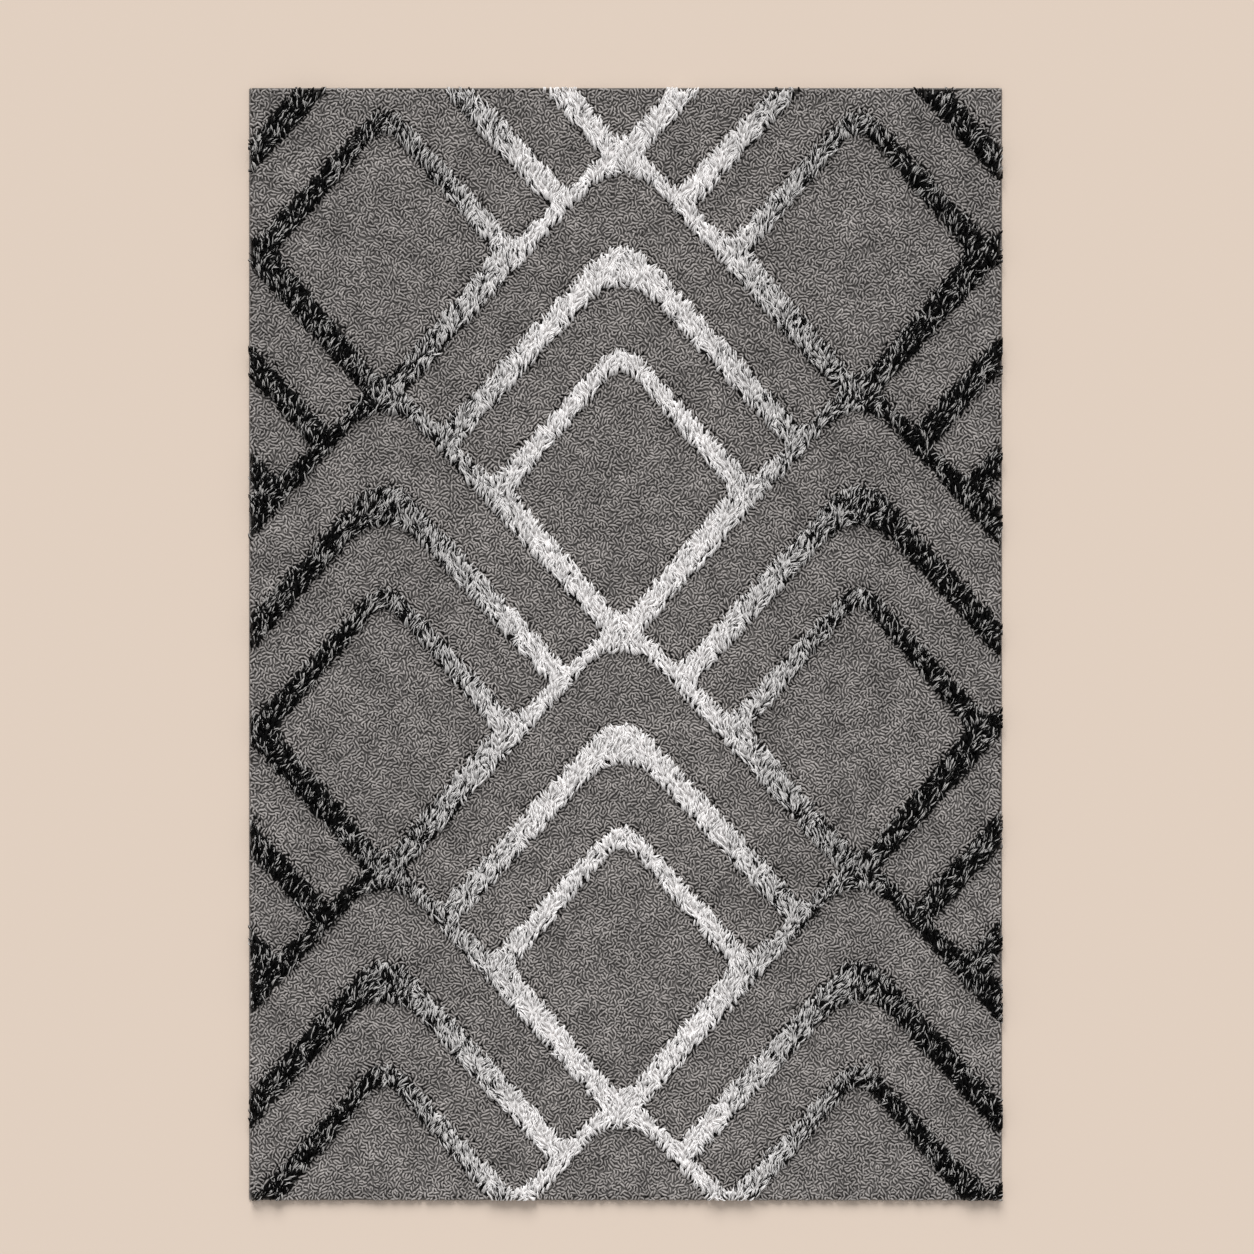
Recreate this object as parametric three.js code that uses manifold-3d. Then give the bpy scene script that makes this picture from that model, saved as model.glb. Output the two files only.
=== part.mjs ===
// Area rug, 1.60 m by 2.36 m, with a high-low pile: a low grey ground pile and, standing above it, a raised
// pattern of bands. The bands draw a lattice of overlapping diamonds, and each diamond holds two chevrons.
// Under the pile lie the ground cloth, a latex coat and a secondary backing. Each long side is overcast
// round a cord, and each end is closed with a folded tape.
//
// Millimetres. +X runs across the rug, +Y along it towards the head end, where the chevrons point, and +Z is
// up. The origin is the middle of the underside, which lies on the floor.
import * as THREE from "three";
import { mergeVertices } from "three/addons/utils/BufferGeometryUtils.js";
import Module from "manifold-3d";

const wasm = await Module();
wasm.setup();

// ---- Driving dimensions ----
const RUG = { width: 1600, length: 2362 };
const THICKNESS = { backing: 1, latex: 1, cloth: 1.5, roots: 1 };
const PILE_HEIGHT = { low: 12, high: 22 }; // above the ground cloth
const SERGING = { radius: 3, bore: 1.9, cord: 1.6, sides: 16 };
const TAPE = { thickness: 1, underLeg: 35, overLeg: 5 };
const GAP = 0.3; // between neighbouring pieces of pile, and between layers and their edging

// One diamond of the pattern. Diamonds stand in columns half a repeat apart, and every other column is
// half a repeat lower. The middle crossing is where four diamonds meet, nearest the middle of the rug.
const REPEAT = { x: 1006, y: 1011 };
const MIDDLE_CROSSING = { x: -7.5, y: 30 };

// The grey fields of one diamond, from its centre: the right half of each outline, as corners with their
// radii, starting on the axis. The left half is its mirror image.
const FIELDS = {
  outer: [[0, 512, 96], [460, 0, 5], [385, -75, 6], [0, 346, 76]],
  middle: [[0, 270, 92], [351, -114, 8], [273, -180, 8], [0, 116, 51]],
  heart: [[0, 65, 30], [231, -207, 20], [0, -484, 26]],
};
const CHORD = { longest: 26, fewest: 2 }; // how a round corner is faceted
const CROSSING_CUT = { across: 110, along: 130 }; // reaches just past the raised pile of a crossing

// ---- Heights and places that follow ----
const Z = { latex: THICKNESS.backing };
Z.cloth = Z.latex + THICKNESS.latex;
Z.pile = Z.cloth + THICKNESS.cloth;
Z.roots = Z.pile + THICKNESS.roots;
Z.low = Z.pile + PILE_HEIGHT.low;
Z.high = Z.pile + PILE_HEIGHT.high;
const HALF_WIDTH = RUG.width / 2;
const HALF_LENGTH = RUG.length / 2;
const CLOTH_X = HALF_WIDTH - 2 * SERGING.radius - GAP; // edge of the layers beside the serging
const CLOTH_Y = HALF_LENGTH - TAPE.thickness - GAP; // end of the layers inside the tape's fold
const PILE_Y = HALF_LENGTH - TAPE.overLeg - GAP;
const BACKING_Y = HALF_LENGTH - TAPE.underLeg - GAP;

// ---- Outlines ----
/** Both halves of an outline given as its right half, in order round it. */
function wholeOutline(half) {
  const mirrored = half.filter(([x]) => x > 0).map(([x, y, r]) => [-x, y, r]).reverse();
  return [...half, ...mirrored];
}

/** Where the line through a with direction u meets the line through b with direction v. */
function meet(a, u, b, v) {
  const along = b.clone().sub(a).cross(v) / u.cross(v);
  return a.clone().addScaledVector(u, along);
}

/** A clockwise outline of [x, y, radius] corners grown outwards by a margin, or shrunk by a negative one. */
function grownCorners(corners, margin) {
  const points = corners.map(([x, y]) => new THREE.Vector2(x, y));
  const count = points.length;
  const sides = points.map((point, i) => {
    const along = points[(i + 1) % count].clone().sub(point).normalize();
    const outwards = new THREE.Vector2(-along.y, along.x);
    return { start: point.clone().addScaledVector(outwards, margin), along };
  });
  return corners.map(([, , radius], i) => {
    const before = sides[(i + count - 1) % count];
    const after = sides[i];
    const bulges = before.along.cross(after.along) < 0;
    const point = meet(before.start, before.along, after.start, after.along);
    return { point, radius: Math.max(0, radius + (bulges ? margin : -margin)) };
  });
}

/** The points of one rounded corner: an arc that touches both of its sides. */
function cornerPoints(previous, corner, next) {
  const { point, radius } = corner;
  const back = previous.point.clone().sub(point).normalize();
  const ahead = next.point.clone().sub(point).normalize();
  const half = Math.acos(THREE.MathUtils.clamp(back.dot(ahead), -1, 1)) / 2;
  if (radius < GAP) return [point];
  const centre = back.clone().add(ahead).normalize().multiplyScalar(radius / Math.sin(half)).add(point);
  const from = back.multiplyScalar(radius / Math.tan(half)).add(point).sub(centre);
  const turn = Math.PI - 2 * half;
  const steps = Math.max(CHORD.fewest, Math.round((radius * turn) / CHORD.longest));
  const side = from.cross(ahead.clone().multiplyScalar(radius / Math.tan(half)).add(point).sub(centre));
  return Array.from({ length: steps + 1 }, (_, i) =>
    from.clone().rotateAround(new THREE.Vector2(), (Math.sign(side) * turn * i) / steps).add(centre));
}

/** The shape of a rounded outline, grown by a margin and moved to a diamond's centre. */
function roundedShape(half, margin, centre) {
  const corners = grownCorners(wholeOutline(half), margin);
  const count = corners.length;
  const points = corners.flatMap((corner, i) =>
    cornerPoints(corners[(i + count - 1) % count], corner, corners[(i + 1) % count]));
  return new THREE.Shape(points.map((point) => point.add(new THREE.Vector2(centre.x, centre.y))));
}

// ---- Solids ----
/** A closed three.js geometry as a solid that can be joined and cut. */
function solidOf(geometry) {
  geometry.deleteAttribute("normal");
  geometry.deleteAttribute("uv");
  const merged = mergeVertices(geometry);
  const vertProperties = merged.getAttribute("position").array;
  const triVerts = new Uint32Array(merged.index.array);
  return new wasm.Manifold(new wasm.Mesh({ numProp: 3, vertProperties, triVerts }));
}

/** A solid as a three.js geometry. */
function geometryOf(solid) {
  const { vertProperties, triVerts } = solid.getMesh();
  const geometry = new THREE.BufferGeometry();
  geometry.setAttribute("position", new THREE.BufferAttribute(vertProperties, 3));
  geometry.setIndex(new THREE.BufferAttribute(triVerts, 1));
  geometry.computeVertexNormals();
  return geometry;
}

/** A shape in plan, standing between two heights. */
function standing(shape, bottom, top) {
  const depth = top - bottom;
  return new THREE.ExtrudeGeometry(shape, { depth, bevelEnabled: false }).translate(0, 0, bottom);
}

/** A sheet centred on the rug's middle, between two heights. */
function sheet(halfX, halfY, bottom, top) {
  return new THREE.BoxGeometry(2 * halfX, 2 * halfY, top - bottom).translate(0, 0, (bottom + top) / 2);
}

/** The solids of one outline of the pattern in every diamond, cut off at the pile's edge. */
function inEveryDiamond(half, margin, bottom, top) {
  const limits = solidOf(sheet(CLOTH_X, PILE_Y, bottom, top));
  return diamonds.flatMap(({ centre, column, row }) => {
    const whole = solidOf(standing(roundedShape(half, margin, centre), bottom, top));
    return whole.intersect(limits).decompose().map((solid) => ({ solid, column, row }));
  });
}

// ---- The pattern ----
const COLUMNS = ["far_left", "left", "centre", "right", "far_right"];
const ROWS = [-2, -1, 0, 1, 2];

/** The centre of every diamond that reaches the rug, with its column's name and its row from the head. */
const diamonds = COLUMNS.flatMap((column, c) => {
  const across = c - 2;
  const stagger = across % 2 ? 0 : REPEAT.y / 2;
  return ROWS.map((step) => ({
    x: MIDDLE_CROSSING.x + (across * REPEAT.x) / 2,
    y: MIDDLE_CROSSING.y + stagger - step * REPEAT.y,
  }))
    .filter(({ y }) => Math.abs(y) < HALF_LENGTH + REPEAT.y / 2)
    .map((centre, row) => ({ centre, column, row: row + 1 }));
});

/** A chevron of raised pile lies between the inner edge of one field and the outer edge of the next. */
function chevronOutline(outside, inside) {
  const [, , heel, crotch] = outside;
  const [apex, tip] = inside;
  const square = ([x, y]) => [x, y, 0];
  return [crotch, square(heel), square(tip), apex];
}
const CHEVRONS = {
  outer_chevron: chevronOutline(FIELDS.outer, FIELDS.middle),
  inner_chevron: chevronOutline(FIELDS.middle, FIELDS.heart),
};

/** Two thin cuts through each crossing of the lattice, so that each run between crossings is one piece. */
function crossingCuts() {
  const reaches = [[CROSSING_CUT.across, GAP], [GAP, CROSSING_CUT.along]];
  return diamonds.flatMap(({ centre }) => reaches.map(([width, length]) => {
    const cut = new THREE.BoxGeometry(width, length, 2 * Z.high);
    return solidOf(cut.translate(centre.x, centre.y - REPEAT.y / 2, Z.high));
  }));
}

/** The low grey pile: every field of every diamond, joined by the roots that run on under the bands. */
function groundPile() {
  const fields = Object.values(FIELDS).flatMap((half) => inEveryDiamond(half, -GAP / 2, Z.pile, Z.low));
  const roots = solidOf(sheet(CLOTH_X, PILE_Y, Z.pile, Z.roots));
  return fields.reduce((joined, { solid }) => joined.add(solid), roots);
}

/** The runs of raised pile that draw the lattice: all the raised pile that isn't a field or a chevron. */
function latticeRuns() {
  const openings = [...Object.values(FIELDS), ...Object.values(CHEVRONS)]
    .flatMap((half) => inEveryDiamond(half, GAP / 2, 0, 2 * Z.high))
    .map(({ solid }) => solid);
  const band = solidOf(sheet(CLOTH_X, PILE_Y, Z.roots, Z.high));
  const runs = [...openings, ...crossingCuts()].reduce((left, cut) => left.subtract(cut), band).decompose();
  const middleOf = (solid) => {
    const { min, max } = solid.boundingBox();
    return { x: (min[0] + max[0]) / 2, y: (min[1] + max[1]) / 2 };
  };
  return runs
    .map((solid) => ({ solid, ...middleOf(solid) }))
    .sort((a, b) => Math.round((b.y - a.y) / (REPEAT.y / 4)) || a.x - b.x);
}

// ---- Materials ----
const material = (color, roughness) => new THREE.MeshStandardMaterial({ color, roughness, metalness: 0 });
const LOOK = {
  greyPile: material(0x77726f, 0.95),
  whitePile: material(0xdad7d5, 0.8),
  mixedPile: material(0x8c8987, 0.85),
  blackPile: material(0x1c1b1b, 0.8),
  backing: material(0xb7a88c, 0.95),
  latex: material(0xcfcabb, 0.7),
  cloth: material(0x9a958c, 0.95),
  serging: material(0x6b6663, 0.9),
  cord: material(0xc9c0ae, 0.9),
  tape: material(0x5f5b58, 0.9),
};

// ---- The rug ----
const rug = new THREE.Group();

/** Adds one named piece to the rug. */
function add(name, geometry, look) {
  const mesh = new THREE.Mesh(geometry, look);
  mesh.name = name;
  rug.add(mesh);
  return mesh;
}

function addLayers() {
  add("secondary_backing", sheet(CLOTH_X, BACKING_Y, 0, Z.latex), LOOK.backing);
  add("latex_coat", sheet(CLOTH_X, CLOTH_Y, Z.latex, Z.cloth), LOOK.latex);
  add("ground_cloth", sheet(CLOTH_X, CLOTH_Y, Z.cloth, Z.pile), LOOK.cloth);
}

/** A round bar along Y, or a tube if it has a bore. */
function bar(radius, bore) {
  const shape = new THREE.Shape().absarc(0, 0, radius, 0, 2 * Math.PI);
  if (bore) shape.holes.push(new THREE.Path().absarc(0, 0, bore, 0, 2 * Math.PI, true));
  const options = { depth: RUG.length, bevelEnabled: false, curveSegments: SERGING.sides };
  return new THREE.ExtrudeGeometry(shape, options).rotateX(-Math.PI / 2);
}

/** The overcast long sides: a cord along the edge, inside the wrapped yarn of the serging. */
function addSides() {
  for (const [side, sign] of [["left", -1], ["right", 1]]) {
    const place = [sign * (HALF_WIDTH - SERGING.radius), -HALF_LENGTH, SERGING.radius];
    add(`serging_${side}`, bar(SERGING.radius, SERGING.bore), LOOK.serging).position.set(...place);
    add(`edge_cord_${side}`, bar(SERGING.cord), LOOK.cord).position.set(...place);
  }
}

/** The tape folded round each end: a wide leg under the rug, and a narrow one over the ground cloth. */
function addTapes() {
  const { thickness, underLeg, overLeg } = TAPE;
  const top = Z.pile + thickness;
  const profile = new THREE.Shape([
    [0, 0], [underLeg, 0], [underLeg, thickness], [thickness, thickness],
    [thickness, Z.pile], [overLeg, Z.pile], [overLeg, top], [0, top],
  ].map(([x, y]) => new THREE.Vector2(x, y)));
  for (const [end, sign] of [["head", 1], ["foot", -1]]) {
    const tape = new THREE.ExtrudeGeometry(profile, { depth: 2 * CLOTH_X, bevelEnabled: false });
    const mesh = add(`hem_tape_${end}`, tape.rotateX(Math.PI / 2).rotateZ(-sign * Math.PI / 2), LOOK.tape);
    mesh.position.set(sign * CLOTH_X, sign * HALF_LENGTH, 0);
  }
}

/** The raised chevrons. One that the rug's end cuts in two is a pair of arms. */
function addChevrons() {
  const looks = { centre: LOOK.whitePile, left: LOOK.mixedPile, right: LOOK.mixedPile };
  for (const [kind, half] of Object.entries(CHEVRONS)) {
    const counts = {};
    for (const { solid, column, row } of inEveryDiamond(half, -GAP / 2, Z.roots, Z.high)) {
      const place = `${kind}_${column}_${row}`;
      counts[place] = (counts[place] ?? 0) + 1;
      const name = counts[place] > 1 ? `${place}_arm_${counts[place]}` : place;
      add(name, geometryOf(solid), looks[column] ?? LOOK.blackPile);
    }
  }
}

function addLattice() {
  latticeRuns().forEach(({ solid, x }, i) => {
    const look = Math.abs(x - MIDDLE_CROSSING.x) < REPEAT.x / 2 ? LOOK.whitePile : LOOK.blackPile;
    add(`lattice_run_${String(i + 1).padStart(2, "0")}`, geometryOf(solid), look);
  });
}

addLayers();
addSides();
addTapes();
add("ground_pile", geometryOf(groundPile()), LOOK.greyPile);
addChevrons();
addLattice();

export default rug;
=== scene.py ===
"""An area rug with a high-low pile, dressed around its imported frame.

The frame gives where the pattern, the layers and the edges lie. The pile is made here yarn by yarn: low
curled yarns in the grey fields, and long leaning strands in the raised bands, which change from white in the
middle of the rug to black at its sides. The layers below, the overcast sides and the taped ends are made as
cloth and yarn too. Everything is in metres: +X across the rug, +Y towards its head end, +Z up.
"""

import logging
import math
from dataclasses import dataclass, field
from enum import Enum

import bpy
import numpy as np
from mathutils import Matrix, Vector
from mathutils.kdtree import KDTree


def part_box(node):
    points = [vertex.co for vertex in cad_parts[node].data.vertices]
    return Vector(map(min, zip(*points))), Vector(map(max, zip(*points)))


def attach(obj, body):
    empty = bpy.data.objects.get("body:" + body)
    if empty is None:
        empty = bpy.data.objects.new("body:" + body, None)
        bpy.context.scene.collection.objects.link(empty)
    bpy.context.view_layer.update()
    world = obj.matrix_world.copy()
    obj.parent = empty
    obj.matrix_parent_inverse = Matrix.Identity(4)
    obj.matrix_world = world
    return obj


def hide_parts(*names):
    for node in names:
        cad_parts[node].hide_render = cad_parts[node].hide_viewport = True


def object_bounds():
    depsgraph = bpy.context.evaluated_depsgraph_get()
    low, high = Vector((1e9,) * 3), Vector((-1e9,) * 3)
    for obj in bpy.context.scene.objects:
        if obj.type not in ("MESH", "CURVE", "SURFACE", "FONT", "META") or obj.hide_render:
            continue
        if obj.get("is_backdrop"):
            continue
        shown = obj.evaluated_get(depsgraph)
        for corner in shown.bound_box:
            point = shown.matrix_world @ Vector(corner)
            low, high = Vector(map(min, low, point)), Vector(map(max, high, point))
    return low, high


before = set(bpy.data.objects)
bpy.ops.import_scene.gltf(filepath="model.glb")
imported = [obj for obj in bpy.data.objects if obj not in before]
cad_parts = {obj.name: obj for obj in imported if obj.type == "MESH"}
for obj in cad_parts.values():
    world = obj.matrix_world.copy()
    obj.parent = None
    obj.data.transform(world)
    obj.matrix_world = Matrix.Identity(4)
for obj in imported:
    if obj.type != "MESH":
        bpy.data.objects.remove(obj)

log = logging.getLogger("rug")
BODY = "root"
SEED = 20
MM = 0.001
TINY = 1e-12
BAKE_MAP = "OFBake"
TUFT = "tuft"


# ---------------------------------------------------------------- helpers


def middle(name: str) -> Vector:
    """Returns the middle of a node's box."""
    low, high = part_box(name)
    return (Vector(low) + Vector(high)) / 2


def corners_of(name: str) -> tuple[np.ndarray, np.ndarray]:
    """Returns the lowest and the highest corner of a node's box."""
    low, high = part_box(name)
    return np.array(low), np.array(high)


def unit(vectors: np.ndarray) -> np.ndarray:
    """Returns the vectors, along the last axis, at length one."""
    return vectors / np.maximum(np.linalg.norm(vectors, axis=-1, keepdims=True), TINY)


def mesh_from(name: str, points: np.ndarray, faces: list[np.ndarray],
              smooth: bool = True) -> bpy.types.Object:
    """Makes an object from points and faces.

    Args:
        name: The name of the object and its mesh.
        points: The points, one row each.
        faces: One array for each number of corners, with a row of point numbers for each face.
        smooth: Whether the faces are shaded smooth.

    Returns:
        The new object, linked to the scene.
    """
    mesh = bpy.data.meshes.new(name)
    loops = np.concatenate([block.ravel() for block in faces])
    sizes = np.concatenate([np.full(len(block), block.shape[1]) for block in faces])
    mesh.vertices.add(len(points))
    mesh.vertices.foreach_set("co", points.astype(np.float32).ravel())
    mesh.loops.add(len(loops))
    mesh.loops.foreach_set("vertex_index", loops.astype(np.int32))
    mesh.polygons.add(len(sizes))
    mesh.polygons.foreach_set("loop_start", (np.cumsum(sizes) - sizes).astype(np.int32))
    mesh.update(calc_edges=True)
    mesh.polygons.foreach_set("use_smooth", np.full(len(sizes), smooth))
    made = bpy.data.objects.new(name, mesh)
    bpy.context.collection.objects.link(made)
    return made


def tube_faces(count: int, rings: int, corners: int, turned: bool = False) -> list[np.ndarray]:
    """Gives the faces of closed tubes, whose points run from ring to ring.

    Args:
        count: How many tubes there are.
        rings: How many rings each has.
        corners: How many points each ring has.
        turned: Whether the faces are turned over, for rings that run the other way round.

    Returns:
        The sides of all tubes, and the caps that close them.
    """
    ring = np.arange(corners)
    after = (ring + 1) % corners
    sides = np.concatenate([np.stack([k + ring, k + after, k + corners + after, k + corners + ring], 1)
                            for k in range(0, (rings - 1) * corners, corners)])
    caps = np.stack([ring[::-1], (rings - 1) * corners + ring])
    if turned:
        sides, caps = np.roll(sides[:, ::-1], 1, 1), caps[:, ::-1]
    start = np.arange(count)[:, None, None] * rings * corners
    return [(start + sides).reshape(-1, 4), (start + caps).reshape(-1, corners)]


def store_tufts(mesh: bpy.types.Mesh, values: np.ndarray) -> None:
    """Stores what a pile finish reads at each point: a shade of its own, how high it stands, which the finish
    turns into painted shade towards the roots and low sides, and a choice of colour.
    """
    mesh.attributes.new(TUFT, "FLOAT_VECTOR", "POINT").data.foreach_set("vector", values.ravel())


def dress(piece: bpy.types.Object, look: bpy.types.Material, node: str | None = None) -> None:
    """Gives a piece its material.

    Args:
        piece: The piece.
        look: Its material.
        node: The node that the piece takes the place of, if there is one.
    """
    piece.data.materials.append(look)
    if node:
        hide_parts(node)


def swirl(points: np.ndarray, size: float, rng: np.random.Generator, waves: int = 24) -> np.ndarray:
    """Gives a smooth random value at each point, as a sum of waves that run in all directions.

    Args:
        points: Places in plan, one row each.
        size: The typical width of a patch of one value.
        rng: The source of random numbers.
        waves: How many waves are summed.

    Returns:
        A value for each point, with a spread of about one.
    """
    turn = rng.uniform(0, 2 * math.pi, waves)
    rate = math.pi / size * rng.uniform(0.6, 1.4, waves)
    phase = rng.uniform(0, 2 * math.pi, waves)
    across = points @ np.stack([np.cos(turn), np.sin(turn)]) * rate + phase
    return np.sin(across).sum(1) * math.sqrt(2 / waves)


# ---------------------------------------------------------------- where the pattern lies


class Column(Enum):
    """The columns of diamonds across the rug, counted in half repeats from the mirror line."""

    far_left = -2
    left = -1
    centre = 0
    right = 1
    far_right = 2


@dataclass(frozen=True)
class Pattern:
    """The pattern's mirror line, its repeat and the heights that the pile rises between."""

    CROSSING = 30 * MM

    axis: float
    crossing: float
    repeat: tuple[float, float]
    outline: tuple[float, float]
    floor: float
    low: float
    high: float

    @classmethod
    def from_frame(cls) -> "Pattern":
        """Finds the pattern in the frame.

        Returns:
            The pattern that the frame's nodes hold.
        """
        upper, lower = middle("inner_chevron_centre_2"), middle("inner_chevron_centre_3")
        left, right = middle("inner_chevron_left_2"), middle("inner_chevron_right_2")
        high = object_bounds()[1]
        return cls(
            axis=upper.x,
            crossing=cls.CROSSING,
            repeat=(right.x - left.x, upper.y - lower.y),
            outline=(high[0], high[1]),
            floor=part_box("ground_cloth")[1][2],
            low=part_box("ground_pile")[1][2],
            high=high[2],
        )

    def diamonds(self, points: np.ndarray) -> np.ndarray:
        """Finds the diamond that each point lies in.

        Args:
            points: Places in plan.

        Returns:
            The column and the row of each point's diamond.
        """
        across = (points[:, 0] - self.axis) / self.repeat[0]
        along = (points[:, 1] - self.crossing) / self.repeat[1]
        rising, falling = np.floor(across + along), np.floor(across - along)
        return np.stack([rising + falling + 1, falling - rising], 1).astype(int)


class Plan:
    """The rug seen from above, as small square cells that each know the frame node on top."""

    CELL = 1 * MM
    FLAT = 0.1 * MM

    def __init__(self, outline: tuple[float, float]) -> None:
        """Reads the top faces of the pile's nodes.

        Args:
            outline: Half the rug's width and length.
        """
        self.corner = -np.array(outline)
        self.size = np.round(2 * np.array(outline) / self.CELL).astype(int)
        bands = (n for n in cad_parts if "chevron" in n or "lattice" in n)
        self.names = ["ground_pile", *sorted(bands)]
        self.labels = np.full(self.size, -1, np.int16)
        for number, name in enumerate(self.names):
            for triangle in self._top(name):
                self._fill(triangle, number)
        self._close_gaps()
        self.borders, self.tree = self._borders()

    def _top(self, name: str) -> np.ndarray:
        """Finds the top faces of a node.

        Args:
            name: The node.

        Returns:
            The corners in plan of their triangles.
        """
        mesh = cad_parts[name].data
        mesh.calc_loop_triangles()
        points = np.array([v.co for v in mesh.vertices])
        corners = points[np.array([t.vertices for t in mesh.loop_triangles])]
        return corners[(corners[:, :, 2] > points[:, 2].max() - self.FLAT).all(1)][:, :, :2]

    def _fill(self, triangle: np.ndarray, number: int) -> None:
        """Gives the cells whose centres lie in a triangle its number.

        Args:
            triangle: Its corners in plan.
            number: The number of the node that it belongs to.
        """
        spots = (triangle - self.corner) / self.CELL - 0.5
        low = np.maximum(np.floor(spots.min(0)), 0).astype(int)
        high = np.minimum(np.ceil(spots.max(0)) + 1, self.size).astype(int)
        x, y = np.meshgrid(np.arange(low[0], high[0]), np.arange(low[1], high[1]), indexing="ij")
        turns = [(q[0] - p[0]) * (y - p[1]) - (q[1] - p[1]) * (x - p[0])
                 for p, q in zip(spots, np.roll(spots, -1, 0))]
        inside = (np.min(turns, 0) >= 0) | (np.max(turns, 0) <= 0)
        self.labels[low[0]:high[0], low[1]:high[1]][inside] = number

    def _close_gaps(self) -> None:
        """Gives the cells in the narrow gaps between nodes the number of a neighbour."""
        for axis in (0, 1, 0, 1):
            for step in (-1, 1):
                beside = np.roll(self.labels, step, axis)
                self.labels = np.where(self.labels < 0, beside, self.labels)

    def _borders(self) -> tuple[np.ndarray, KDTree]:
        """Finds where raised pile meets low pile.

        Returns:
            The places in plan where it does, and a tree to search them with.
        """
        raised = self.labels > 0
        along = np.argwhere(raised[1:] != raised[:-1]) + (1, 0.5)
        across = np.argwhere(raised[:, 1:] != raised[:, :-1]) + (0.5, 1)
        borders = np.concatenate([along, across]) * self.CELL + self.corner
        tree = KDTree(len(borders))
        for number, (x, y) in enumerate(borders):
            tree.insert((x, y, 0), number)
        tree.balance()
        return borders, tree

    def low_field(self, under: float) -> np.ndarray:
        """Finds the cells that low pile may fill: its own, and a strip under the overhang of a raised band.

        Args:
            under: How wide the strip is, towards the foot of the rug.

        Returns:
            Which cells it may fill.
        """
        low = self.labels == 0
        field_cells = low.copy()
        for step in range(1, 1 + round(under / self.CELL)):
            field_cells[:, :-step] |= low[:, step:]
        return field_cells

    def at(self, points: np.ndarray) -> np.ndarray:
        """Finds the node on top at each point.

        Args:
            points: Places in plan.

        Returns:
            The number of the node at each, or -1 off the rug.
        """
        cells = np.floor((points - self.corner) / self.CELL).astype(int)
        inside = ((cells >= 0) & (cells < self.size)).all(1)
        cells = cells.clip(0, self.size - 1)
        return np.where(inside, self.labels[cells[:, 0], cells[:, 1]], -1)

    def border(self, points: np.ndarray) -> tuple[np.ndarray, np.ndarray]:
        """Finds the nearest border between raised and low pile.

        Args:
            points: Places in plan.

        Returns:
            For each point its distance from that border, and the direction to it.
        """
        nearest = self.borders[[self.tree.find((x, y, 0))[1] for x, y in points]]
        return np.linalg.norm(nearest - points, axis=1), unit(nearest - points)


# ---------------------------------------------------------------- finishes


class Groups:
    """The shader effects that several materials share, each built once as a node group."""

    made: dict[str, bpy.types.NodeTree] = {}

    @classmethod
    def start(cls, name: str, inputs: dict[str, tuple[str, object]],
              outputs: dict[str, str]) -> bpy.types.NodeTree:
        """Makes an empty group with named sockets.

        Args:
            name: The group's name.
            inputs: Each input's kind and first value.
            outputs: Each output's kind.

        Returns:
            The group, with its input and output nodes in place.
        """
        tree = bpy.data.node_groups.new(name, "ShaderNodeTree")
        for label, (kind, value) in inputs.items():
            socket = tree.interface.new_socket(label, in_out="INPUT", socket_type=kind)
            socket.default_value = value
        for label, kind in outputs.items():
            tree.interface.new_socket(label, in_out="OUTPUT", socket_type=kind)
        tree.nodes.new("NodeGroupInput").name = "in"
        tree.nodes.new("NodeGroupOutput").name = "out"
        cls.made[name] = tree
        return tree


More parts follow.
